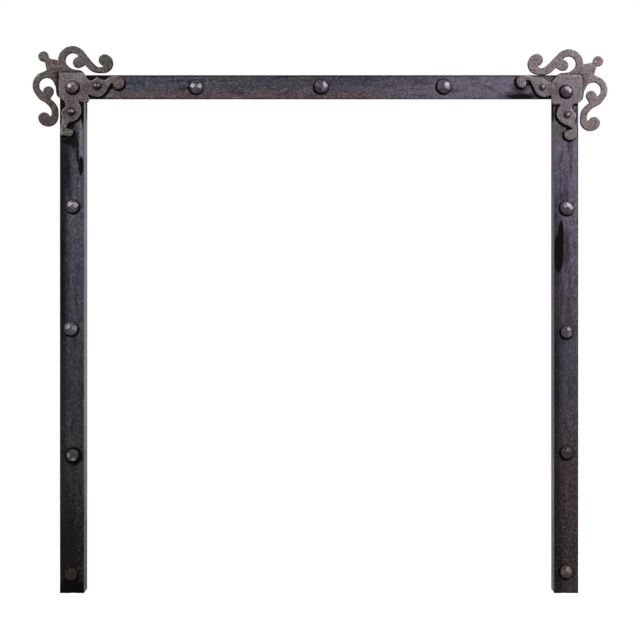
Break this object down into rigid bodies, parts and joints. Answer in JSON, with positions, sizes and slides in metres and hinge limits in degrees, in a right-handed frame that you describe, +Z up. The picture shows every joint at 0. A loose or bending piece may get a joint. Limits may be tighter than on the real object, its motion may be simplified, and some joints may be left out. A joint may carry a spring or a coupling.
{
  "type": "fireplace surround",
  "caption": "Three-sided iron fireplace surround: angle-iron legs mitred to a flat lintel bar round a firebox mouth, with riveted scroll plates and pierced brackets at the upper corners.",
  "frame": {"origin": "bottom centre of the bounding box, on the hearth midway between the legs", "axes": "+Z up, -Y out of the riveted front, +X to the right seen from the front"},
  "size_m": [1.2108, 0.0648, 1.1503],
  "materials": {
    "bar_iron": "blued black bar with brown rust staining",
    "corner_plate_iron": "grainy grey-brown iron, dark at the edges",
    "scroll_plate_iron": "grainy grey-brown iron, dark at the edges",
    "rivet_iron": "hammered, bright on the flats"
  },
  "bodies": {
    "root": {"left_leg": "bar_iron", "right_leg": "bar_iron", "lintel": "bar_iron", "left_corner_plate": "corner_plate_iron", "right_corner_plate": "corner_plate_iron", "left_scroll_plate": "scroll_plate_iron", "right_scroll_plate": "scroll_plate_iron", "left_corner_rivet": "rivet_iron", "right_corner_rivet": "rivet_iron", "left_arm_rivet_top": "rivet_iron", "left_arm_rivet_side": "rivet_iron", "right_arm_rivet_top": "rivet_iron", "right_arm_rivet_side": "rivet_iron", "lintel_rivet_left": "rivet_iron", "lintel_rivet_middle": "rivet_iron", "lintel_rivet_right": "rivet_iron", "left_leg_rivet_1": "rivet_iron", "left_leg_rivet_2": "rivet_iron", "left_leg_rivet_3": "rivet_iron", "left_leg_rivet_4": "rivet_iron", "right_leg_rivet_1": "rivet_iron", "right_leg_rivet_2": "rivet_iron", "right_leg_rivet_3": "rivet_iron", "right_leg_rivet_4": "rivet_iron"}
  },
  "joints": []
}
